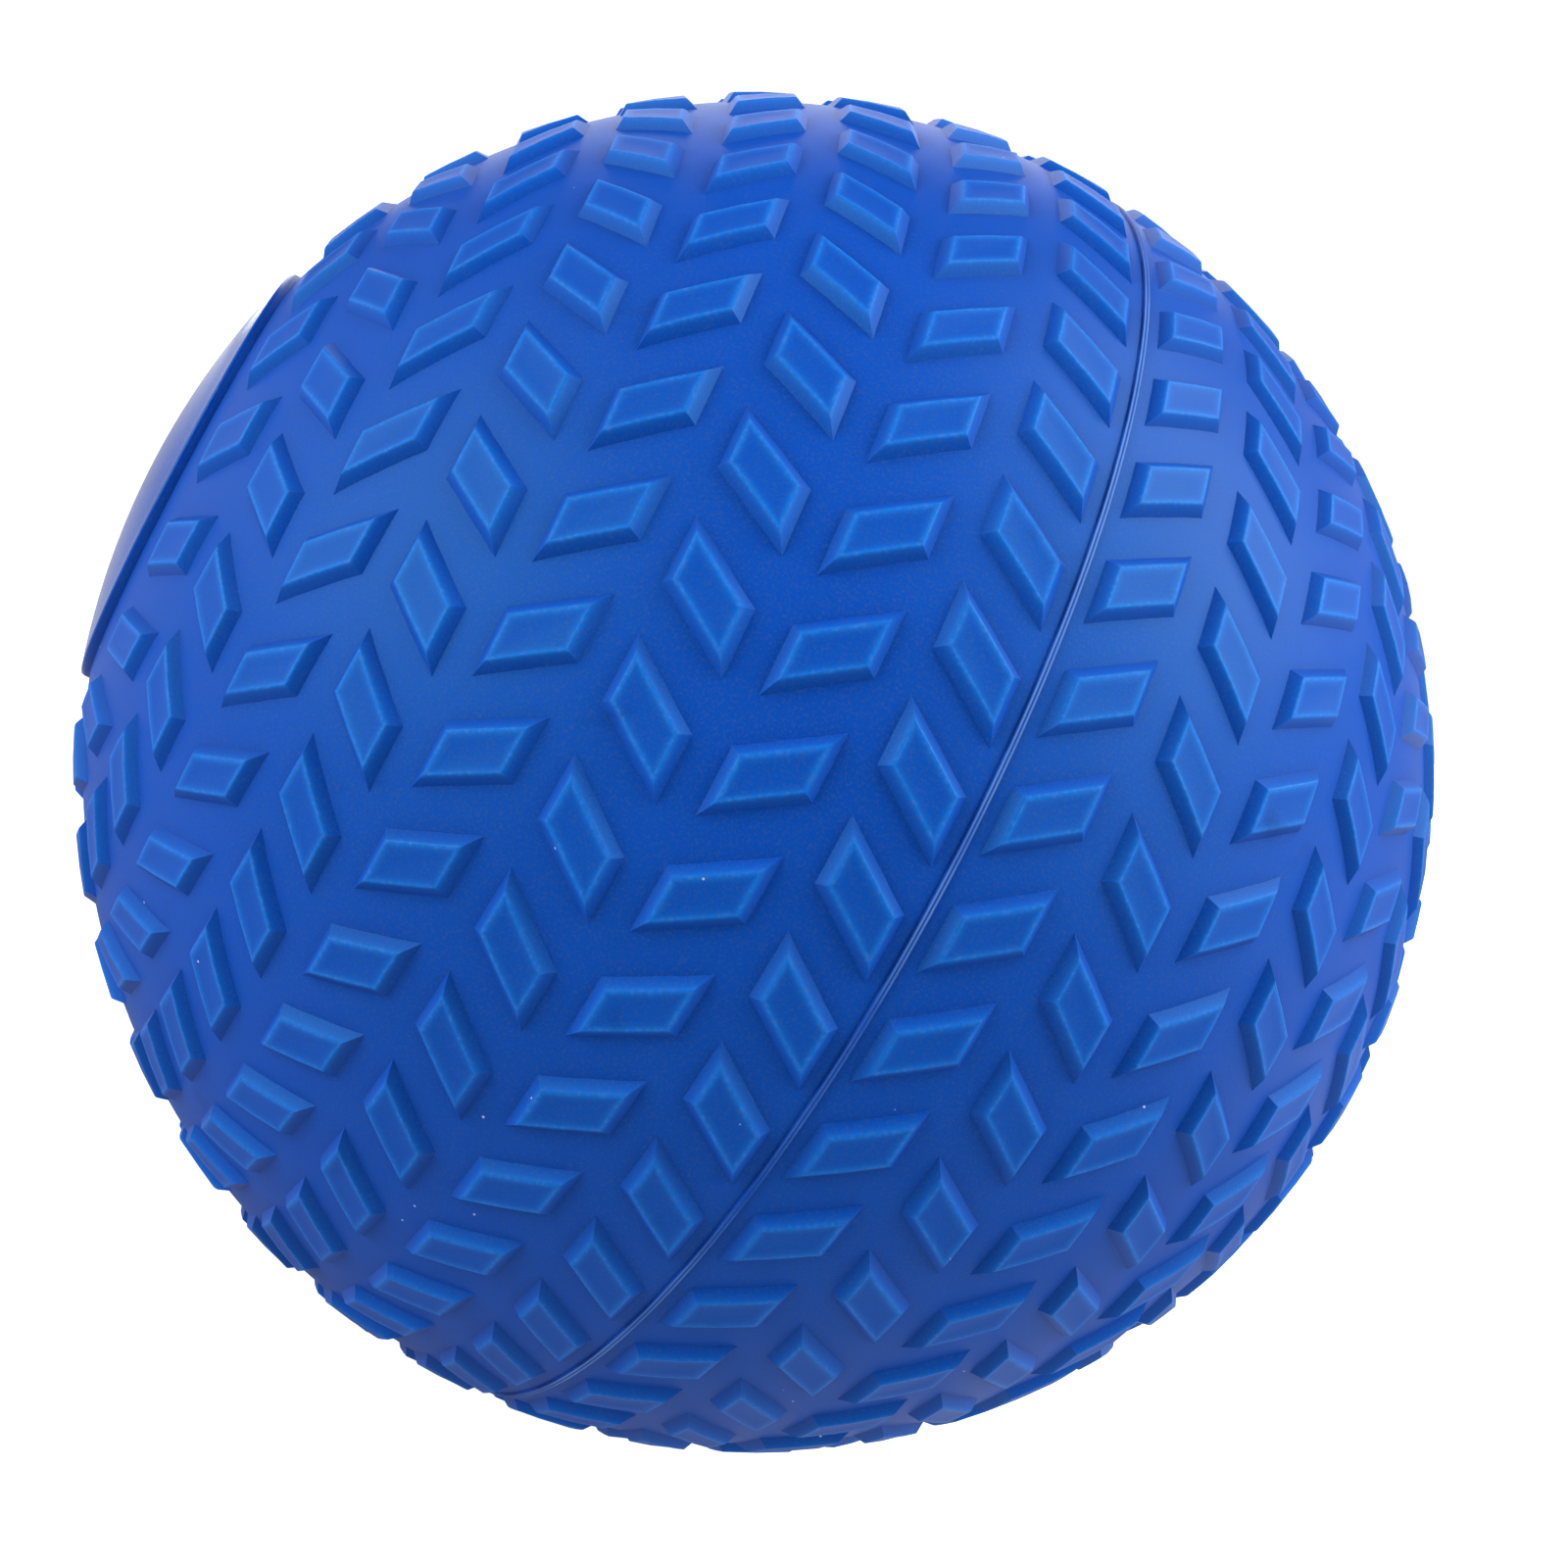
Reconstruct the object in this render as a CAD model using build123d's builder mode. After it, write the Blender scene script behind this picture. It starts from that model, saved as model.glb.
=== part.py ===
from build123d import *
import os
from math import atan, cos, degrees, radians, sin, sqrt, tan

# A weighted slam ball. Origin at the ball's centre, polar axis along X, +Z up.
# The filling hole and its valve are at the +X pole, the plain pole is at -X.

# Shell
SKIN_RADIUS = 113.1  # outside of the skin between the tread blocks
WALL = 5.0
SEAM_HEIGHT = 0.5  # mould parting line, a fine bead round the middle
SEAM_WIDTH = 1.1
BADGE_RADIUS = 37.0  # smooth raised disc on each pole
BADGE_RISE = 1.5  # step from the skin up to the disc's edge
BADGE_EDGE_ROUND = 0.5
POLE_X = SKIN_RADIUS + 0.7  # crown of the disc on the axis

# Tread, in rings that mirror each other across the seam
RING_PITCH = 8.55  # degrees of latitude
BLOCK_LENGTH = 11.8  # along the meridian, at the foot of the block
BLOCK_WIDTH = 9.6  # round the ball
BLOCK_HEIGHT = 1.5
BLOCK_DRAFT = 1.25  # how far the sides lean in between foot and top
BLOCK_ROOT = 1.0  # depth that a block reaches into the skin
# From the seam to the pole: blocks in the ring, slant of their long sides, and where
# the first block stands on the -X and on the +X half, in degrees about X from +Z
RINGS = (
    (43, 34, 5.2, 3.2),
    (41, 34, 5.9, 1.6),
    (39, 34, 2.9, 5.3),
    (37, 32, 6.8, 7.5),
    (34, 33, 2.2, 7.2),
    (28, 37, 12.7, 9.6),
    (24, 29, 13.7, 5.0),
    (18, 24, 7.7, 16.0),
)

# Filling hole, plug and valve, all on the X axis at the +X pole
NECK_RADIUS = 15.0
NECK_DEPTH = 8.0  # how far the neck stands into the cavity
HOLE_RADIUS = 9.0
RECESS_RADIUS = 13.0  # seat of the plug's head
HEAD_THICKNESS = 2.0
BOND_GAP = 0.05  # radial room for the cement, and round the valve
PLUG_LENGTH = 17.0
PLUG_LEAD_IN = 1.0
VALVE_RADIUS = 4.0
VALVE_HEAD_RADIUS = 5.5
VALVE_HEAD_THICKNESS = 1.0
VALVE_LENGTH = 21.0
VALVE_SETBACK = 0.3  # below the plug's face
VALVE_TIP = 2.0
NEEDLE_RADIUS = 1.05  # takes a standard 2 mm inflating needle
NEEDLE_DEPTH = 14.0

# Ballast
SAND_CLEARANCE = 1.2
SAND_LEVEL = -20.0  # height of the sand's surface

os.makedirs("parts", exist_ok=True)


def tread_block(latitude, lean):
    """One block at the top of the ball. Its long sides lean round the ball as they go towards +X."""
    outward = Vector(sin(radians(latitude)), 0, cos(radians(latitude)))
    along = Vector(cos(radians(latitude)), 0, -sin(radians(latitude)))
    foot = Plane(outward * (SKIN_RADIUS - BLOCK_ROOT), x_dir=along, z_dir=outward)
    flare = BLOCK_ROOT * BLOCK_DRAFT / BLOCK_HEIGHT
    x = BLOCK_LENGTH / 2 + flare
    y = BLOCK_WIDTH / 2 + flare / cos(radians(lean))
    shift = x * tan(radians(lean))
    with BuildPart() as block:
        with BuildSketch(foot):
            with BuildLine():
                Polyline((-x, -shift - y), (x, shift - y), (x, shift + y), (-x, y - shift), close=True)
            make_face()
        extrude(amount=BLOCK_ROOT + BLOCK_HEIGHT, taper=degrees(atan(BLOCK_DRAFT / BLOCK_HEIGHT)))
    return block.part


# Every second ring leans the other way, and the +X half mirrors the -X half
blocks = {}
for ring, (count, slant, *first_blocks) in enumerate(RINGS):
    latitude = (ring + 0.5) * RING_PITCH
    lean = slant if ring % 2 == 0 else -slant
    for side in (-1, 1):
        blocks[ring, side] = tread_block(side * latitude, side * lean)

with BuildPart() as tread:
    for ring, (count, slant, *first_blocks) in enumerate(RINGS):
        for side, first in zip((-1, 1), first_blocks):
            with Locations(*[Rotation(first + turn * 360 / count, 0, 0) for turn in range(count)]):
                add(blocks[ring, side])

# Shell, moulded in one piece and drawn here as half of its section on the X axis
cavity_radius = SKIN_RADIUS - WALL
badge_foot_x = sqrt(SKIN_RADIUS**2 - BADGE_RADIUS**2)
badge_edge_x = badge_foot_x + BADGE_RISE
crown = POLE_X - badge_edge_x
crown_radius = (BADGE_RADIUS**2 + crown**2) / (2 * crown)
seat_x = POLE_X - HEAD_THICKNESS
bead_foot = sqrt(SKIN_RADIUS**2 - (SEAM_WIDTH / 2) ** 2)
neck_foot_x = sqrt(cavity_radius**2 - NECK_RADIUS**2)
neck_end_x = neck_foot_x - NECK_DEPTH
diagonal = SKIN_RADIUS / sqrt(2)


def badge_x(radius):
    """Distance along X of the badge disc's domed face, at this distance from the axis."""
    return POLE_X - crown_radius + sqrt(crown_radius**2 - radius**2)


with BuildPart() as tread_shell:
    with BuildSketch(Plane.XY):
        with BuildLine():
            ThreePointArc(
                (-POLE_X, 0), (-badge_x(BADGE_RADIUS / 2), BADGE_RADIUS / 2), (-badge_edge_x, BADGE_RADIUS)
            )
            Line((-badge_edge_x, BADGE_RADIUS), (-badge_foot_x, BADGE_RADIUS))
            ThreePointArc(
                (-badge_foot_x, BADGE_RADIUS), (-diagonal, diagonal), (-SEAM_WIDTH / 2, bead_foot)
            )
            ThreePointArc(
                (-SEAM_WIDTH / 2, bead_foot), (0, SKIN_RADIUS + SEAM_HEIGHT), (SEAM_WIDTH / 2, bead_foot)
            )
            ThreePointArc((SEAM_WIDTH / 2, bead_foot), (diagonal, diagonal), (badge_foot_x, BADGE_RADIUS))
            Line((badge_foot_x, BADGE_RADIUS), (badge_edge_x, BADGE_RADIUS))
            middle = (BADGE_RADIUS + RECESS_RADIUS) / 2
            ThreePointArc(
                (badge_edge_x, BADGE_RADIUS), (badge_x(middle), middle), (badge_x(RECESS_RADIUS), RECESS_RADIUS)
            )
            Polyline(
                (badge_x(RECESS_RADIUS), RECESS_RADIUS),
                (seat_x, RECESS_RADIUS),
                (seat_x, HOLE_RADIUS),
                (neck_end_x, HOLE_RADIUS),
                (neck_end_x, NECK_RADIUS),
                (neck_foot_x, NECK_RADIUS),
            )
            ThreePointArc((neck_foot_x, NECK_RADIUS), (0, cavity_radius), (-cavity_radius, 0))
            Line((-cavity_radius, 0), (-POLE_X, 0))
        make_face()
    revolve(axis=Axis.X)
    badge_edges = tread_shell.edges().filter_by(GeomType.CIRCLE).filter_by(
        lambda edge: abs(abs(edge.arc_center.X) - badge_edge_x) < 0.01
    )
    fillet(badge_edges, BADGE_EDGE_ROUND)
    add(tread.part)
tread_shell.part.label = "tread_shell"

# Stopper that closes the filling hole once the sand is in, cemented into the neck
with BuildPart() as filler_plug:
    with BuildSketch(Plane.YZ.offset(seat_x)):
        Circle(RECESS_RADIUS - BOND_GAP)
    extrude(amount=HEAD_THICKNESS)
    with BuildSketch(Plane.YZ.offset(seat_x)):
        Circle(HOLE_RADIUS - BOND_GAP)
    extrude(amount=-PLUG_LENGTH)
    chamfer(filler_plug.edges().group_by(Axis.X)[0], PLUG_LEAD_IN)
    with Locations(Plane.YZ.offset(POLE_X)):
        CounterBoreHole(
            radius=VALVE_RADIUS + BOND_GAP,
            counter_bore_radius=VALVE_HEAD_RADIUS + BOND_GAP,
            counter_bore_depth=VALVE_SETBACK + VALVE_HEAD_THICKNESS,
        )
filler_plug.part.label = "filler_plug"

# Rubber valve: a headed stem with a blind needle hole, closed by its own squeeze below that
valve_face_x = POLE_X - VALVE_SETBACK
with BuildPart() as needle_valve:
    with BuildSketch(Plane.YZ.offset(valve_face_x)):
        Circle(VALVE_HEAD_RADIUS)
    extrude(amount=-VALVE_HEAD_THICKNESS)
    with BuildSketch(Plane.YZ.offset(valve_face_x)):
        Circle(VALVE_RADIUS)
    extrude(amount=-VALVE_LENGTH)
    chamfer(needle_valve.edges().group_by(Axis.X)[0], VALVE_TIP)
    with Locations(Plane.YZ.offset(valve_face_x)):
        Hole(NEEDLE_RADIUS, depth=NEEDLE_DEPTH)
needle_valve.part.label = "needle_valve"

# Loose sand, which lies in the bottom of the cavity and slides round inside it
with BuildPart() as ballast_sand:
    Sphere(cavity_radius - SAND_CLEARANCE)
    split(bisect_by=Plane.XY.offset(SAND_LEVEL), keep=Keep.BOTTOM)
ballast_sand.part.label = "ballast_sand"

for piece in (tread_shell, filler_plug, needle_valve, ballast_sand):
    export_step(piece.part, f"parts/{piece.part.label}.step")
    print(piece.part.label, piece.part.is_valid, round(piece.part.volume / 1000, 2), "cm3")
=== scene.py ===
import bpy
from math import atan2, cos, pi, radians, sin, sqrt, tan, tau
from mathutils import Matrix, Vector, noise


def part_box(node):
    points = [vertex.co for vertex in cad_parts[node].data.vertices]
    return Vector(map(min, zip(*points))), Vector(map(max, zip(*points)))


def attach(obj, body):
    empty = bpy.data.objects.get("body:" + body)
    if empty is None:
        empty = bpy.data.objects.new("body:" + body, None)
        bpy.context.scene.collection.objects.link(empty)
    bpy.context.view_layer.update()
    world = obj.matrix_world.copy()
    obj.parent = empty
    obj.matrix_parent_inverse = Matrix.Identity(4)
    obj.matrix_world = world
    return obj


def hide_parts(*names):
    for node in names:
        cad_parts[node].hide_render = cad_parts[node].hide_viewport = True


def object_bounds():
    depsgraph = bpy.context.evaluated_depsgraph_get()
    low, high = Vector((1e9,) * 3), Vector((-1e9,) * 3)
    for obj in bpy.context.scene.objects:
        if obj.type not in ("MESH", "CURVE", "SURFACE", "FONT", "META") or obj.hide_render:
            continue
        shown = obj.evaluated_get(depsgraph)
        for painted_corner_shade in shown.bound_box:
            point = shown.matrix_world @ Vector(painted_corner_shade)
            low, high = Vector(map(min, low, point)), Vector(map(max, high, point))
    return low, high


# A weighted slam ball: a thick, soft vinyl shell with moulded tread, part filled with loose
# sand through a hole at the +X pole, which a plug and a needle valve close. Sizes in metres.

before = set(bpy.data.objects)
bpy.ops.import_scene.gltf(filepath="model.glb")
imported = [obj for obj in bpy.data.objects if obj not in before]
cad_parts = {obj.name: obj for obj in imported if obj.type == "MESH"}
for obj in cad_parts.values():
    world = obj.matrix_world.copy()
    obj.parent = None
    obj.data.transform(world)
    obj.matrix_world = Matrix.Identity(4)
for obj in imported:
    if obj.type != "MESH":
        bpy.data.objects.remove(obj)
cad_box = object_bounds()


# ---- Shell: the hollow ball of blue vinyl, without its tread ----
# Moulded in one piece, about 5 mm thick, with a fine parting line round the middle and a
# smooth raised disc on each pole. Turned about X from its outline, outside and inside.

SKIN_RADIUS = 0.1131
WALL = 0.005
SEAM_HEIGHT = 0.0005
SEAM_WIDTH = 0.0011
BADGE_RADIUS = 0.037
BADGE_RISE = 0.0015
BADGE_ROUND = 0.0005
POLE_X = SKIN_RADIUS + 0.0007
NECK_RADIUS = 0.015
NECK_DEPTH = 0.008
HOLE_RADIUS = 0.009
RECESS_RADIUS = 0.013
HEAD_THICKNESS = 0.002
SHELL_STEPS = 240
FACE_STEPS = 14
SKIN_STEPS = 52
CAVITY_STEPS = 48
MERGE_DISTANCE = 0.000001


def arc(centre, radius, start, end, steps):
    """Points on an arc about (centre, 0), from one angle off the X axis to another, in degrees."""
    angles = [radians(start + (end - start) * step / steps) for step in range(steps + 1)]
    return [(centre + radius * cos(angle), radius * sin(angle)) for angle in angles]


def turned(name, outline, steps):
    """A piece turned about the X axis from its outline: points of (distance along X, radius)."""
    bpy.ops.object.select_all(action="DESELECT")
    bpy.ops.mesh.primitive_plane_add(size=0.001, location=(outline[0][0], 0, outline[0][1]))
    piece = bpy.context.object
    piece.name = piece.data.name = name
    bpy.ops.object.transform_apply()
    bpy.ops.object.mode_set(mode="EDIT")
    bpy.ops.mesh.select_mode(type="VERT")
    bpy.ops.mesh.merge(type="CENTER")
    for (x, radius), (next_x, next_radius) in zip(outline, outline[1:]):
        stride = (next_x - x, 0, next_radius - radius)
        bpy.ops.mesh.extrude_vertices_move(TRANSFORM_OT_translate={"value": stride})
    bpy.ops.mesh.select_all(action="SELECT")
    bpy.ops.mesh.spin(steps=steps, angle=tau, center=(0, 0, 0), axis=(1, 0, 0))
    bpy.ops.mesh.select_all(action="SELECT")
    bpy.ops.mesh.remove_doubles(threshold=MERGE_DISTANCE)
    bpy.ops.mesh.normals_make_consistent(inside=False)
    bpy.ops.object.mode_set(mode="OBJECT")
    return piece


badge_foot_x = sqrt(SKIN_RADIUS**2 - BADGE_RADIUS**2)
badge_edge_x = badge_foot_x + BADGE_RISE
crown = POLE_X - badge_edge_x
crown_radius = (BADGE_RADIUS**2 + crown**2) / (2 * crown)
crown_x = POLE_X - crown_radius
cavity_radius = SKIN_RADIUS - WALL
neck_foot_x = sqrt(cavity_radius**2 - NECK_RADIUS**2)
neck_end_x = neck_foot_x - NECK_DEPTH
seat_x = POLE_X - HEAD_THICKNESS


def off_axis(radius, reach):
    """The angle off the X axis at which an arc of this radius is this far from the axis."""
    return atan2(reach, sqrt(radius**2 - reach**2)) * 180 / pi


badge_angle = off_axis(SKIN_RADIUS, BADGE_RADIUS)
seam_angle = off_axis(SKIN_RADIUS, SEAM_WIDTH / 2)
edge_angle = off_axis(crown_radius, BADGE_RADIUS - BADGE_ROUND)
badge_face = arc(crown_x, crown_radius, 0, edge_angle, FACE_STEPS)
round_x = badge_face[-1][0] - BADGE_ROUND
round_radius = BADGE_RADIUS - BADGE_ROUND
badge_edge = [
    (round_x + BADGE_ROUND * cos(radians(turn)), round_radius + BADGE_ROUND * sin(radians(turn)))
    for turn in (22, 45, 68, 90)
]
skin = arc(0, SKIN_RADIUS, badge_angle, 90 - seam_angle, SKIN_STEPS)
bead = [
    (SEAM_WIDTH * 0.46, SKIN_RADIUS + SEAM_HEIGHT * 0.5),
    (SEAM_WIDTH * 0.36, SKIN_RADIUS + SEAM_HEIGHT * 0.9),
    (SEAM_WIDTH * 0.25, SKIN_RADIUS + SEAM_HEIGHT),
    (SEAM_WIDTH * 0.12, SKIN_RADIUS + SEAM_HEIGHT * 0.9),
    (0, SKIN_RADIUS + SEAM_HEIGHT * 0.8),
]
tread_side = badge_edge + skin + bead

# The +X disc has a seat for the plug's head; below it a neck leads into the cavity
recess_lip = (crown_x + sqrt(crown_radius**2 - RECESS_RADIUS**2), RECESS_RADIUS)
recessed_face = [recess_lip] + [point for point in badge_face if point[1] > RECESS_RADIUS]
outline = (
    [(-x, radius) for x, radius in badge_face + tread_side]
    + (recessed_face + tread_side[:-1])[::-1]
    + [(seat_x, RECESS_RADIUS), (seat_x, HOLE_RADIUS)]
    + [(neck_end_x, HOLE_RADIUS), (neck_end_x, NECK_RADIUS)]
    + arc(0, cavity_radius, off_axis(cavity_radius, NECK_RADIUS), 180, CAVITY_STEPS)
)
outline[0] = (-POLE_X, 0)
outline[-1] = (-cavity_radius, 0)
shell = turned("tread_ball_shell", outline, SHELL_STEPS)


# ---- Tread: 528 slanted blocks, moulded in one with the shell ----
# Rings of like blocks lean one way and the next ring the other way, mirrored across the seam.
# One block is modelled at the top of the ball for each ring, copied round X, then joined in.

# Degrees from ring to ring, starting half a pitch from the seam
RING_PITCH = 8.55
BLOCK_LENGTH = 0.0118
BLOCK_WIDTH = 0.0096
BLOCK_HEIGHT = 0.0015
BLOCK_DRAFT = 0.00125
BLOCK_ROOT = 0.001
# Each ring's number of blocks, slant, and first block's turn on the -X and on the +X side
RINGS = (
    (43, 34, 5.2, 3.2),
    (41, 34, 5.9, 1.6),
    (39, 34, 2.9, 5.3),
    (37, 32, 6.8, 7.5),
    (34, 33, 2.2, 7.2),
    (28, 37, 12.7, 9.6),
    (24, 29, 13.7, 5.0),
    (18, 24, 7.7, 16.0),
)
SKIRT = 0.00015
SKIRT_DEPTH = 0.00008
FILLET = 0.0003
FILLET_RISE = 0.0002
RIDGE = 0.0002
RIDGE_RISE = 0.0001
DISH = 0.00016
DISH_SLOPE = 0.0012
DISH_TONE = 0.25
LEVEL = 0.00001


def picked(mesh_object, test):
    """In edit mode, select only the points of an object that pass a test of their place."""
    bpy.ops.mesh.select_all(action="DESELECT")
    bpy.ops.object.mode_set(mode="OBJECT")
    for vertex in mesh_object.data.vertices:
        vertex.select = test(vertex.co)
    bpy.ops.object.mode_set(mode="EDIT")
    bpy.ops.mesh.select_mode(type="VERT")


def tread_block(lean):
    """One block at the top of the ball, its long sides leaning towards +Y as they go to +X."""
    slope = tan(radians(lean))
    length = BLOCK_LENGTH + 2 * SKIRT
    width = BLOCK_WIDTH + 2 * SKIRT / cos(radians(lean))
    bpy.ops.object.select_all(action="DESELECT")
    bpy.ops.mesh.primitive_cube_add(
        size=1,
        location=(0, 0, SKIN_RADIUS - SKIRT_DEPTH - BLOCK_ROOT / 2),
        scale=(length, width, BLOCK_ROOT),
    )
    block = bpy.context.object
    bpy.ops.object.transform_apply()
    bpy.ops.object.mode_set(mode="EDIT")
    for end in (-1, 1):
        picked(block, lambda place: place.x * end > 0)
        bpy.ops.transform.translate(value=(0, end * length / 2 * slope, 0))
    picked(block, lambda place: place.z > SKIN_RADIUS - SKIRT_DEPTH - BLOCK_ROOT / 2)
    side = BLOCK_HEIGHT - FILLET_RISE - RIDGE_RISE
    bpy.ops.mesh.inset(thickness=FILLET, depth=SKIRT_DEPTH + FILLET_RISE)
    bpy.ops.mesh.inset(thickness=BLOCK_DRAFT - RIDGE, depth=side)
    bpy.ops.mesh.inset(thickness=RIDGE, depth=RIDGE_RISE)
    bpy.ops.mesh.inset(thickness=RIDGE, depth=0)
    bpy.ops.mesh.inset(thickness=DISH_SLOPE, depth=-DISH)
    bpy.ops.mesh.select_mode(type="EDGE")
    bpy.ops.mesh.select_all(action="DESELECT")
    bpy.ops.object.mode_set(mode="OBJECT")
    points = block.data.vertices
    for edge in block.data.edges:
        low, high = sorted(points[index].co.z for index in edge.vertices)
        edge.select = low > SKIN_RADIUS - BLOCK_ROOT / 2 and high - low < LEVEL
    bpy.ops.object.mode_set(mode="EDIT")
    bpy.ops.mesh.subdivide(number_cuts=1)
    bpy.ops.object.mode_set(mode="OBJECT")
    # How far up the block each point is, and lower again in the dish; the vinyl paints a glow by it,
    # lighter up the sides and on the ridges
    rise = block.data.attributes.new("rise", "FLOAT", "POINT")
    for vertex, mark in zip(block.data.vertices, rise.data):
        height = (vertex.co.z - SKIN_RADIUS) / BLOCK_HEIGHT
        in_dish = abs(height - 1 + DISH / BLOCK_HEIGHT) < 0.01
        mark.value = DISH_TONE if in_dish else max(0, height)
    # Bend the block to the ball
    for vertex in block.data.vertices:
        vertex.co.z -= SKIN_RADIUS - sqrt(SKIN_RADIUS**2 - vertex.co.x**2 - vertex.co.y**2)
    return block


copies = []
for ring, (count, slant, *first_blocks) in enumerate(RINGS):
    for side, first in zip((-1, 1), first_blocks):
        block = tread_block(side * (slant if ring % 2 == 0 else -slant))
        tilt = Matrix.Rotation(radians(side * (ring + 0.5) * RING_PITCH), 4, "Y")
        for turn in range(count):
            copy = block.copy()
            copy.data = block.data.copy()
            copy.data.transform(Matrix.Rotation(radians(first) + turn * tau / count, 4, "X") @ tilt)
            bpy.context.collection.objects.link(copy)
            copies.append(copy)
        bpy.data.objects.remove(block)
bpy.ops.object.select_all(action="DESELECT")
for copy in copies:
    copy.select_set(True)
bpy.context.view_layer.objects.active = copies[0]
bpy.ops.object.join()
tread = bpy.context.object

SHELL_CREASE = 20

union = shell.modifiers.new("tread", "BOOLEAN")
union.object = tread
union.operation = "UNION"
union.solver = "MANIFOLD"
bpy.ops.object.select_all(action="DESELECT")
shell.select_set(True)
bpy.context.view_layer.objects.active = shell
bpy.ops.object.modifier_apply(modifier=union.name)
bpy.data.objects.remove(tread)
bpy.ops.object.shade_smooth_by_angle(angle=radians(SHELL_CREASE))


class Wire:
    """An output socket of a material. Arithmetic on it adds Math nodes to that material."""

    def __init__(self, socket):
        self.socket = socket

    def node(self, kind, settings, sockets, output=0):
        """Adds a node: its settings first, then the values or links of its sockets."""
        tree = self.socket.id_data
        node = tree.nodes.new("ShaderNode" + kind)
        for name, value in settings.items():
            setattr(node, name, value)
        for name, value in sockets.items():
            if isinstance(value, Wire):
                tree.links.new(value.socket, node.inputs[name])
            else:
                node.inputs[name].default_value = value
        return Wire(node.outputs[output])

    def math(self, operation, first, second):
        return self.node("Math", {"operation": operation}, {0: first, 1: second})

    def __add__(self, other):
        return self.math("ADD", self, other)

    def __sub__(self, other):
        return self.math("SUBTRACT", self, other)

    def __rsub__(self, other):
        return self.math("SUBTRACT", other, self)

    def __mul__(self, other):
        return self.math("MULTIPLY", self, other)

    __radd__ = __add__
    __rmul__ = __mul__

    def mix(self, low, high):
        """A colour between two others, by this mask."""
        return self.node("Mix", {"data_type": "RGBA"}, {0: self, 6: low, 7: high}, 2)

    def ramp(self, low, high):
        """0 below one value of this field, 1 above another, straight in between."""
        return self.node("MapRange", {}, {"Value": self, "From Min": low, "From Max": high})

    def noise(self, scale, detail):
        """Soft noise at these coordinates, about 0.5 on average."""
        return self.node("TexNoise", {}, {"Vector": self, "Scale": scale, "Detail": detail})


def finish(name, constants):
    """A new material, its Principled shader with constants set, and its object coordinates."""
    material = bpy.data.materials.new(name)
    material.use_nodes = True
    shader = material.node_tree.nodes["Principled BSDF"]
    for socket, value in constants.items():
        shader.inputs[socket].default_value = value
    place = material.node_tree.nodes.new("ShaderNodeTexCoord").outputs["Object"]
    return material, shader, Wire(place)


# The vinyl: blue all through, hazy and paler where rubbed. Painted light on it: a painted glow up the block
# sides and on their ridges, a painted highlight on the seam's crest, and painted shade in its corners
BLUE = (0.003, 0.082, 0.53, 1)
CYAN = (0.008, 0.22, 0.85, 1)
DEEP = (0.001, 0.024, 0.20, 1)
WEAR_AND_HIGHLIGHT = (0.25, 0.45, 0.80, 1)
DUST = (0.75, 0.80, 0.90, 1)
HAZE = (0.25, 1, 0.9, 1)
CLOUD_SCALE = 22.0
GRAIN_SCALE = 2600.0
SMUDGE_SCALE = 70.0
RUB_SCALE = 1500.0
SPECK_SCALE = 300.0
SHELTER_REACH = 0.0025
GRAIN_DEPTH = 0.00008

# Where each mask goes from 0 to 1
SMUDGE_RANGE = (0.7, 0.78)
RUB_RANGE = (0.48, 0.66)
SPECK_SIZE = (0.07, 0.04)
SPECK_SHARE = (0.94, 0.945)
CREST_EDGE = (0.00045, 0.00035)
CREST_GROOVE = (0.00008, 0.00018)
CREST_PATCHES = (0.35, 0.6)
CORNER_RANGE = (0.97, 0.55)
CLEAR_OF_SEAM = (-0.001, 0.0015)
DARK_GRAIN = (0.3, 0.7)
PALE_GRAIN = (0.45, 0.8)

# How much of its colour each mask adds
SIDE_GLOW = 0.28
RIDGE_GLOW = 0.5
CORNER_SHADE = 0.75
CLOUD_SHADE = 0.25
GRAIN_SHADE = 0.3
SMUDGE_SHADE = 0.4
GRAIN_LINT_AND_GLINT = 0.08
CREST_RUB_AND_HIGHLIGHT = 0.45
RIDGE_BLOOM = 0.08
SPECK_BLOOM = 0.7

vinyl, shader, place = finish("blue_vinyl", {"IOR": 1.5, "Specular IOR Level": 0.2, "Specular Tint": HAZE})
along = place.node("SeparateXYZ", {}, {0: place}, "X")
from_seam = along.math("ABSOLUTE", along, 0)
rise = place.node("Attribute", {"attribute_name": "rise"}, {}, "Fac")
near_faces = {"samples": 8, "only_local": True}
shelter = place.node("AmbientOcclusion", near_faces, {"Distance": SHELTER_REACH}, "AO")
cloud = place.noise(CLOUD_SCALE, 3.0)
grain = place.noise(GRAIN_SCALE, 2.0)
smudge = place.noise(SMUDGE_SCALE, 2.0).ramp(*SMUDGE_RANGE)
rubbed = place.noise(RUB_SCALE, 4.0).ramp(*RUB_RANGE)
cells = {"Vector": place, "Scale": SPECK_SCALE}
speck_distance = place.node("TexVoronoi", {}, cells, "Distance")
speck_pick = place.node("SeparateColor", {}, {0: place.node("TexVoronoi", {}, cells, "Color")}, "Red")
speck = speck_distance.ramp(*SPECK_SIZE) * speck_pick.ramp(*SPECK_SHARE)
crest = from_seam.ramp(*CREST_EDGE) * from_seam.ramp(*CREST_GROOVE)
# Painted shade: darker on the skin round each block's foot and in other nooks, taken from ambient occlusion
# and kept off the seam
painted_corner_shade = shelter.ramp(*CORNER_RANGE) * from_seam.ramp(*CLEAR_OF_SEAM)
cubed = rise * rise * rise
ridge = cubed * cubed
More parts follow.
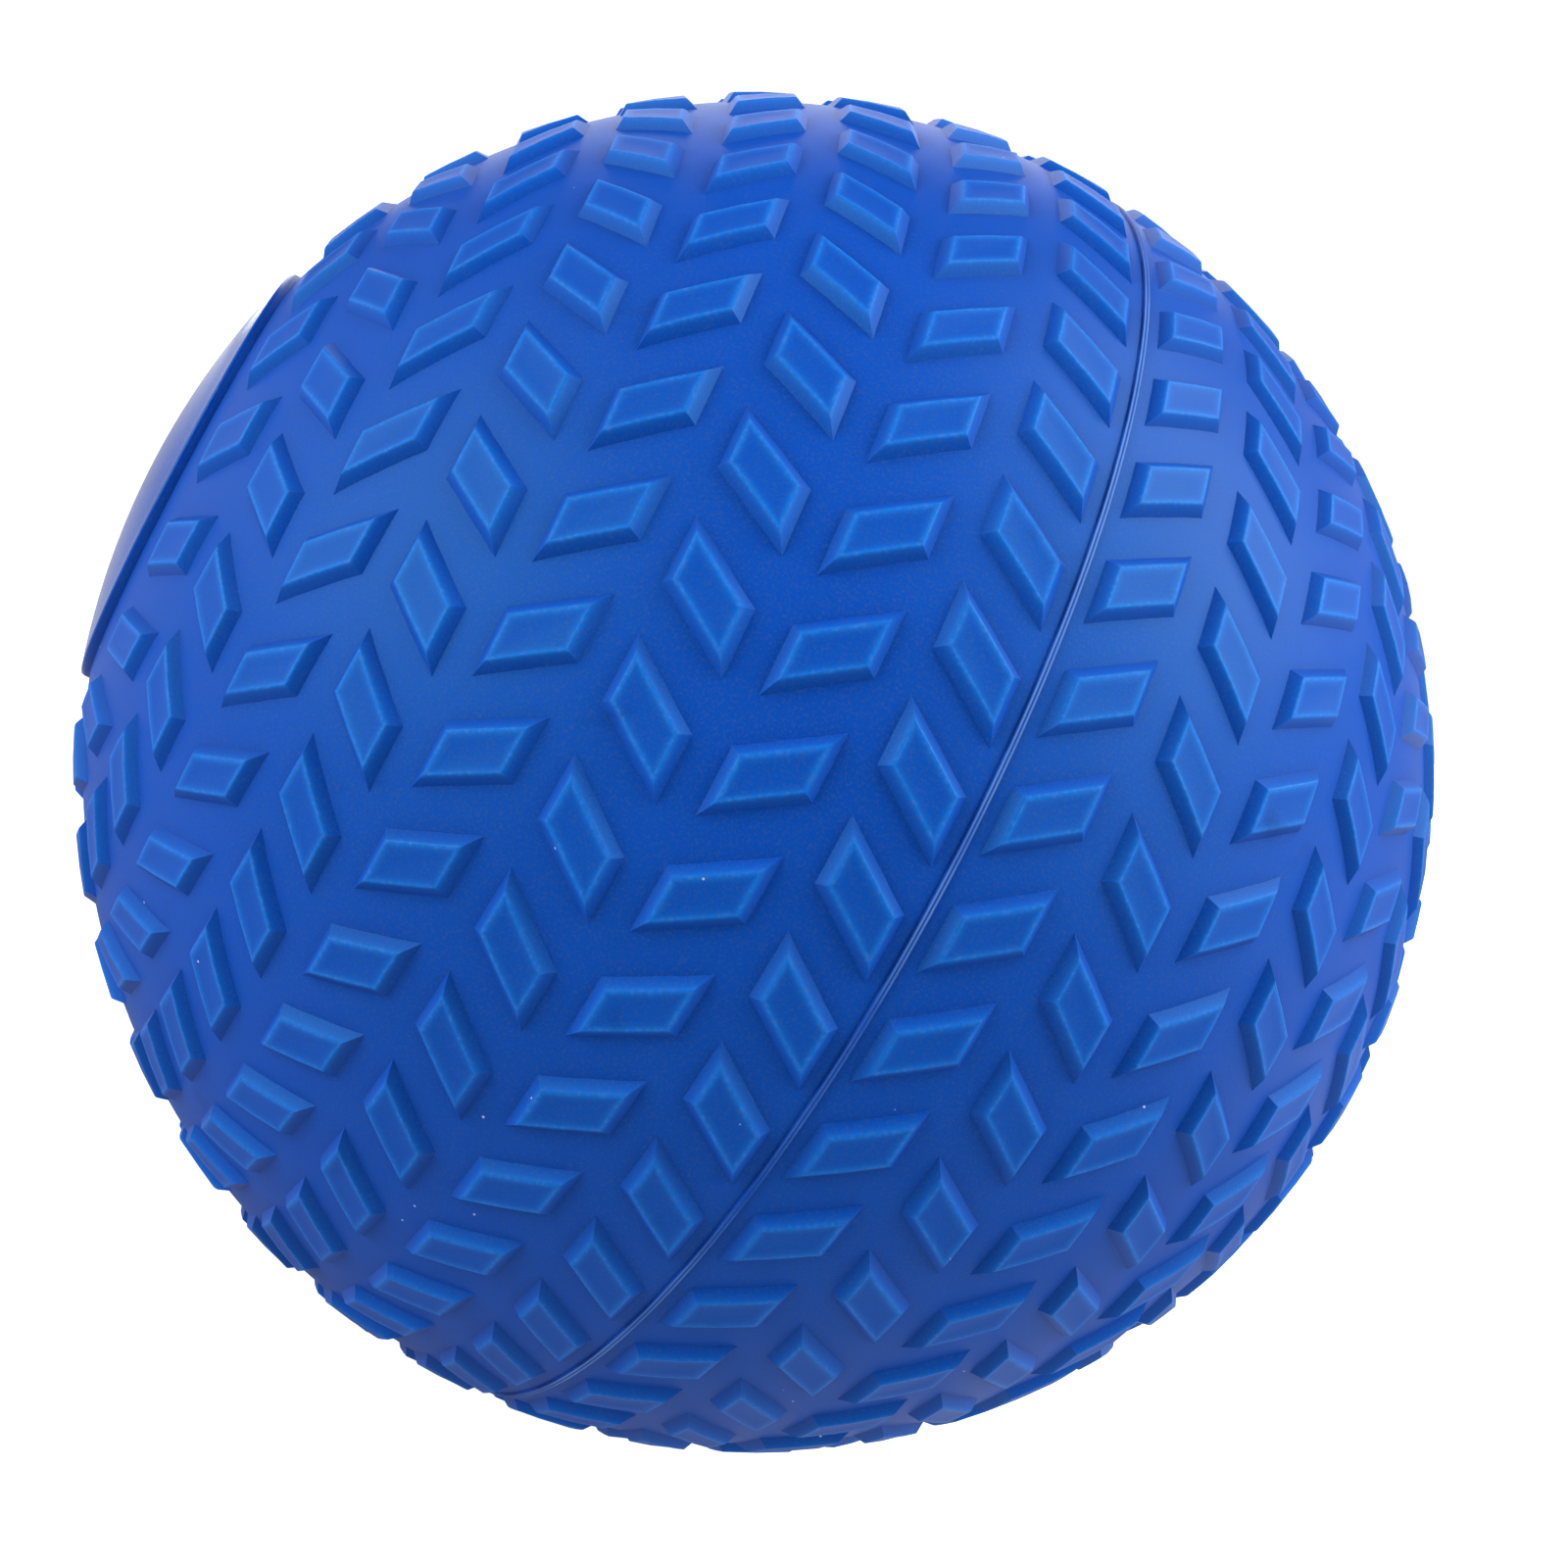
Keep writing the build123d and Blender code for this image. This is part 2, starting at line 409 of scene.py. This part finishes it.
# Painted light: each block lighter towards its top and glowing cyan on its ridges, the way lit translucent
# vinyl looks; the dish on top gets less of it
painted_glow = rise * SIDE_GLOW + ridge * RIDGE_GLOW
colour = painted_glow.mix(BLUE, CYAN)
colour = (painted_corner_shade * CORNER_SHADE).mix(colour, DEEP)
colour = (cloud * CLOUD_SHADE + grain.ramp(*DARK_GRAIN) * GRAIN_SHADE).mix(colour, DEEP)
colour = (smudge * SMUDGE_SHADE).mix(colour, DEEP)
# Pale specks in the grain: partly lint, partly painted glints
colour = (grain.ramp(*PALE_GRAIN) * GRAIN_LINT_AND_GLINT).mix(colour, WEAR_AND_HIGHLIGHT)
# The seam's crest paler in patches: partly a rubbed parting line, partly a painted highlight
colour = (crest * cloud.ramp(*CREST_PATCHES) * CREST_RUB_AND_HIGHLIGHT).mix(colour, WEAR_AND_HIGHLIGHT)
colour = (ridge * rubbed * RIDGE_BLOOM).mix(colour, WEAR_AND_HIGHLIGHT)
colour = (speck * SPECK_BLOOM).mix(colour, DUST)
shader.id_data.links.new(colour.socket, shader.inputs["Base Color"])
smooth_disc = from_seam.ramp(badge_foot_x + 0.0008, badge_foot_x + 0.0012)
roughness = 0.40 + grain * 0.12 - smooth_disc * 0.32
shader.id_data.links.new(roughness.socket, shader.inputs["Roughness"])
bump = place.node("Bump", {}, {"Strength": 0.25, "Distance": GRAIN_DEPTH, "Height": grain})
shader.id_data.links.new(bump.socket, shader.inputs["Normal"])
shell.data.materials.clear()
shell.data.materials.append(vinyl)
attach(shell, "shell")
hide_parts("tread_shell")


# ---- Plug: the stopper of the filling hole at the +X pole ----
# A headed vinyl stopper, cemented into the neck once the sand is in. Turned, with a rounded
# rim, a shallow ring moulded in its face and a counterbore for the valve.

BOND_GAP = 0.00005
PLUG_LENGTH = 0.017
PLUG_LEAD_IN = 0.001
PLUG_ROUND = 0.0004
VALVE_RADIUS = 0.004
VALVE_HEAD_RADIUS = 0.0055
VALVE_HEAD_THICKNESS = 0.001
VALVE_SETBACK = 0.0003
GROOVE_RADIUS = 0.0095
GROOVE_DEPTH = 0.0003
PLUG_STEPS = 96
TURNED_CREASE = 30

plug_radius = RECESS_RADIUS - BOND_GAP
stem_radius = HOLE_RADIUS - BOND_GAP
seat_of_valve = POLE_X - VALVE_SETBACK - VALVE_HEAD_THICKNESS
bore_radius = VALVE_RADIUS + BOND_GAP
counterbore_radius = VALVE_HEAD_RADIUS + BOND_GAP
groove = [
    (POLE_X - GROOVE_DEPTH * cos(radians(turn)), GROOVE_RADIUS + GROOVE_DEPTH * sin(radians(turn)))
    for turn in (-90, -45, 0, 45, 90)
]
half_round = PLUG_ROUND / 2
rim = arc(0, PLUG_ROUND, 0, 90, 4)
plug_outline = (
    [(seat_x - PLUG_LENGTH, bore_radius), (seat_of_valve, bore_radius), (seat_of_valve, counterbore_radius)]
    + [(POLE_X - half_round + x / 2, counterbore_radius + half_round - y / 2) for x, y in rim[::-1]]
    + groove
    + [(POLE_X - PLUG_ROUND + x, plug_radius - PLUG_ROUND + y) for x, y in rim]
    + [
        (seat_x, plug_radius),
        (seat_x, stem_radius),
        (seat_x - PLUG_LENGTH + PLUG_LEAD_IN, stem_radius),
        (seat_x - PLUG_LENGTH, stem_radius - PLUG_LEAD_IN),
        (seat_x - PLUG_LENGTH, bore_radius),
    ]
)
plug = turned("filling_plug", plug_outline, PLUG_STEPS)
bpy.ops.object.shade_smooth_by_angle(angle=radians(TURNED_CREASE))

PLUG_BLUE = (0.003, 0.070, 0.44, 1)
PLUG_CLOUD_SCALE = 120.0
PLUG_SHELTER_REACH = 0.002

plug_vinyl, shader, place = finish(
    "plug_vinyl", {"IOR": 1.5, "Specular IOR Level": 0.2, "Specular Tint": HAZE}
)
cloud = place.noise(PLUG_CLOUD_SCALE, 3.0)
grain = place.noise(GRAIN_SCALE, 2.0)
shelter = place.node("AmbientOcclusion", {"samples": 8}, {"Distance": PLUG_SHELTER_REACH}, "AO")
# Painted shade: darker where the plug's own faces crowd close, in the counterbore, the groove and round the
# rim, with random cloud besides
colour = ((1 - shelter) * 0.8 + cloud * 0.25).mix(PLUG_BLUE, DEEP)
shader.id_data.links.new(colour.socket, shader.inputs["Base Color"])
roughness = 0.36 + grain * 0.1
shader.id_data.links.new(roughness.socket, shader.inputs["Roughness"])
bump = place.node("Bump", {}, {"Strength": 0.2, "Distance": GRAIN_DEPTH, "Height": grain})
shader.id_data.links.new(bump.socket, shader.inputs["Normal"])
plug.data.materials.append(plug_vinyl)
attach(plug, "shell")
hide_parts("filler_plug")


# ---- Valve: the black rubber needle valve in the middle of the plug ----
# A headed stem with a blind hole for an inflating needle. Turned, with a raised lip round
# the needle's way in and a tapered tip.

VALVE_LENGTH = 0.021
VALVE_TIP = 0.002
NEEDLE_RADIUS = 0.00105
NEEDLE_DEPTH = 0.014
LIP_RADIUS = 0.0024
LIP_HEIGHT = 0.00025
HEAD_ROUND = 0.0002
VALVE_STEPS = 72

face_x = POLE_X - VALVE_SETBACK
lip_middle = (LIP_RADIUS + NEEDLE_RADIUS) / 2
lip_reach = (LIP_RADIUS - NEEDLE_RADIUS) / 2
lip = [
    (face_x + LIP_HEIGHT * sin(radians(turn)), lip_middle - lip_reach * cos(radians(turn)))
    for turn in (0, 30, 60, 90, 120, 150, 180)
]
valve_outline = (
    [(face_x - NEEDLE_DEPTH, 0), (face_x - NEEDLE_DEPTH, NEEDLE_RADIUS)]
    + lip
    + [(face_x - HEAD_ROUND + x / 2, VALVE_HEAD_RADIUS - HEAD_ROUND + y / 2) for x, y in rim]
    + [
        (face_x - VALVE_HEAD_THICKNESS, VALVE_HEAD_RADIUS),
        (face_x - VALVE_HEAD_THICKNESS, VALVE_RADIUS),
        (face_x - VALVE_LENGTH + VALVE_TIP, VALVE_RADIUS),
        (face_x - VALVE_LENGTH, VALVE_RADIUS - VALVE_TIP),
        (face_x - VALVE_LENGTH, 0),
    ]
)
valve = turned("inflation_valve", valve_outline, VALVE_STEPS)
bpy.ops.object.shade_smooth_by_angle(angle=radians(TURNED_CREASE))

BLACK = (0.008, 0.008, 0.009, 1)
BLOOM = (0.022, 0.022, 0.024, 1)
BLOOM_SCALE = 500.0
PORE_SCALE = 4000.0
PORE_DEPTH = 0.00005

rubber, shader, place = finish("black_rubber", {"IOR": 1.5, "Specular IOR Level": 0.3})
cloud = place.noise(BLOOM_SCALE, 4.0)
colour = cloud.ramp(0.35, 0.75).mix(BLACK, BLOOM)
shader.id_data.links.new(colour.socket, shader.inputs["Base Color"])
roughness = 0.5 + cloud * 0.2
shader.id_data.links.new(roughness.socket, shader.inputs["Roughness"])
pores = place.noise(PORE_SCALE, 2.0)
bump = place.node("Bump", {}, {"Strength": 0.3, "Distance": PORE_DEPTH, "Height": pores})
shader.id_data.links.new(bump.socket, shader.inputs["Normal"])
valve.data.materials.append(rubber)
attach(valve, "shell")
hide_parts("needle_valve")


# ---- Ballast: loose sand in the bottom of the cavity ----
# Nothing holds it, so it slides round inside the shell. A ball cut at the sand's level, its
# top raked into soft uneven waves.

SAND_SEGMENTS = 96
SAND_RINGS = 64
RAKE_RINGS = 12
RAKED_SHARE = 0.97
WAVE_HEIGHT = 0.0012
WAVE_SCALE = 45
SAND_CREASE = 35

sand_low, sand_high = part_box("ballast_sand")
sand_radius = -sand_low.z
sand_level = sand_high.z - WAVE_HEIGHT
surface_radius = sqrt(sand_radius**2 - sand_level**2)

bpy.ops.object.select_all(action="DESELECT")
bpy.ops.mesh.primitive_uv_sphere_add(
    segments=SAND_SEGMENTS, ring_count=SAND_RINGS, radius=sand_radius
)
sand = bpy.context.object
sand.name = sand.data.name = "ballast_sand_fill"
bpy.ops.object.mode_set(mode="EDIT")
bpy.ops.mesh.select_all(action="SELECT")
bpy.ops.mesh.bisect(
    plane_co=(0, 0, sand_level), plane_no=(0, 0, 1), use_fill=True, clear_outer=True
)
for ring in range(RAKE_RINGS):
    bpy.ops.mesh.inset(thickness=surface_radius / (RAKE_RINGS + 1), depth=0)
bpy.ops.mesh.poke()
bpy.ops.object.mode_set(mode="OBJECT")
for vertex in sand.data.vertices:
    if vertex.co.z > sand_level - LEVEL and vertex.co.xy.length < surface_radius * RAKED_SHARE:
        vertex.co.z += WAVE_HEIGHT * noise.noise(vertex.co * WAVE_SCALE)
bpy.ops.object.shade_smooth_by_angle(angle=radians(SAND_CREASE))

SAND_LIGHT = (0.40, 0.31, 0.20, 1)
SAND_DARK = (0.14, 0.10, 0.065, 1)
BED_SCALE = 40.0
SAND_GRAIN_SCALE = 1400.0
SAND_GRAIN_DEPTH = 0.0004

grains, shader, place = finish("loose_sand", {})
bed = place.noise(BED_SCALE, 3.0)
cells = {"Vector": place, "Scale": SAND_GRAIN_SCALE}
grain_colour = place.node("SeparateColor", {}, {0: place.node("TexVoronoi", {}, cells, "Color")}, "Red")
grain_shape = place.node("TexVoronoi", {}, cells, "Distance")
colour = (grain_colour * 0.7 + bed * 0.3).mix(SAND_DARK, SAND_LIGHT)
shader.id_data.links.new(colour.socket, shader.inputs["Base Color"])
roughness = 0.7 + grain_colour * 0.25
shader.id_data.links.new(roughness.socket, shader.inputs["Roughness"])
relief = {"Strength": 0.8, "Distance": SAND_GRAIN_DEPTH, "Height": grain_shape}
bump = place.node("Bump", {"invert": True}, relief)
shader.id_data.links.new(bump.socket, shader.inputs["Normal"])
sand.data.materials.append(grains)
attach(sand, "sand")
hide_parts("ballast_sand")


# ---- Floor, light and camera ----
# A sheet of white paper under the ball, softboxes all round it, and the camera in front, a
# little above and rolled. The paper glows for the camera so that it stays plain white.

FLOOR_SIZE = 6
PAPER = (0.4, 0.4, 0.4, 1)
FAR_PAPER = (0.6, 1.5)
NEAR_PAPER = (0.5, 0.1)
FAR_GLOW = 0.9
NEAR_GLOW = 0.2
CAMERA_GLOW = 0.8

bpy.ops.object.select_all(action="DESELECT")
bpy.ops.mesh.primitive_plane_add(size=FLOOR_SIZE, location=(0, 0, cad_box[0][2]))
floor = bpy.context.object
floor.name = "floor"
bpy.ops.object.transform_apply()
paper, shader, place = finish("white_paper", {"Roughness": 0.8, "Emission Color": (1, 1, 1, 1)})
shader.inputs["Base Color"].default_value = PAPER
reach = place.node("VectorMath", {"operation": "LENGTH"}, {0: place}, "Value")
distant = reach.ramp(*FAR_PAPER) * FAR_GLOW
near = reach.ramp(*NEAR_PAPER) * NEAR_GLOW
glow = place.node("LightPath", {}, {}, "Is Camera Ray") * CAMERA_GLOW + distant + near
shader.id_data.links.new(glow.socket, shader.inputs["Emission Strength"])
floor.data.materials.append(paper)

# Each softbox's direction from the ball, its width and its brightness
LIGHT_DISTANCE = 0.9
SOFTBOXES = {
    "overhead": ((0.42, -0.11, 0.90), 0.75, 4.8),
    "front_right": ((0.60, -0.55, 0.58), 0.72, 2.1),
    "right_low": ((0.97, 0.00, 0.12), 0.72, 0.8),
    "left": ((-0.94, -0.28, 0.15), 0.70, 4.7),
    "left_high": ((-0.81, -0.10, 0.57), 0.70, 0.5),
    "left_back": ((-0.90, 0.40, 0.20), 0.70, 0.4),
    "back": ((-0.05, 0.95, 0.30), 0.75, 2.3),
    "back_right": ((0.60, 0.75, 0.25), 0.72, 0.6),
}
for name, (direction, width, brightness) in SOFTBOXES.items():
    lamp = bpy.data.lights.new(name, "AREA")
    lamp.size = width
    lamp.energy = brightness * pi * width**2
    softbox = bpy.data.objects.new(name, lamp)
    bpy.context.collection.objects.link(softbox)
    facing = Vector(direction).normalized()
    turned_to = facing.to_track_quat("Z", "Y").to_matrix().to_4x4()
    softbox.matrix_world = Matrix.Translation(LIGHT_DISTANCE * facing) @ turned_to

# The air of the studio: faint fill for the ball, plain white behind it
FILL = 0.05
BACKDROP = 1.1

world = bpy.data.worlds.new("studio")
bpy.context.scene.world = world
world.use_nodes = True
fill = world.node_tree.nodes["Background"]
seen = world.node_tree.nodes.new("ShaderNodeLightPath")
strength = world.node_tree.nodes.new("ShaderNodeMapRange")
strength.inputs["To Min"].default_value = FILL
strength.inputs["To Max"].default_value = BACKDROP
world.node_tree.links.new(seen.outputs["Is Camera Ray"], strength.inputs["Value"])
world.node_tree.links.new(strength.outputs["Result"], fill.inputs["Strength"])
fill.inputs["Color"].default_value = (1, 1, 1, 1)

bpy.context.scene.view_settings.view_transform = "Standard"

CAMERA_DISTANCE = 0.3614
CAMERA_AZIMUTH = -14.08
CAMERA_ELEVATION = 13.05
CAMERA_ROLL = 31.22
LENS = 46.75
SENSOR = 36
NEAREST = 0.01
AIM = Vector((0.0050, -0.0011, 0.0009))
azimuth = radians(CAMERA_AZIMUTH)
elevation = radians(CAMERA_ELEVATION)
station = CAMERA_DISTANCE * Vector(
    (sin(azimuth) * cos(elevation), -cos(azimuth) * cos(elevation), sin(elevation))
)
lens = bpy.data.cameras.new("camera")
lens.lens = LENS
lens.sensor_width = SENSOR
lens.clip_start = NEAREST
camera = bpy.data.objects.new("camera", lens)
bpy.context.collection.objects.link(camera)
level = (AIM - station).to_track_quat("-Z", "Y").to_matrix().to_4x4()
camera.matrix_world = Matrix.Translation(station) @ level @ Matrix.Rotation(radians(CAMERA_ROLL), 4, "Z")
bpy.context.scene.camera = camera
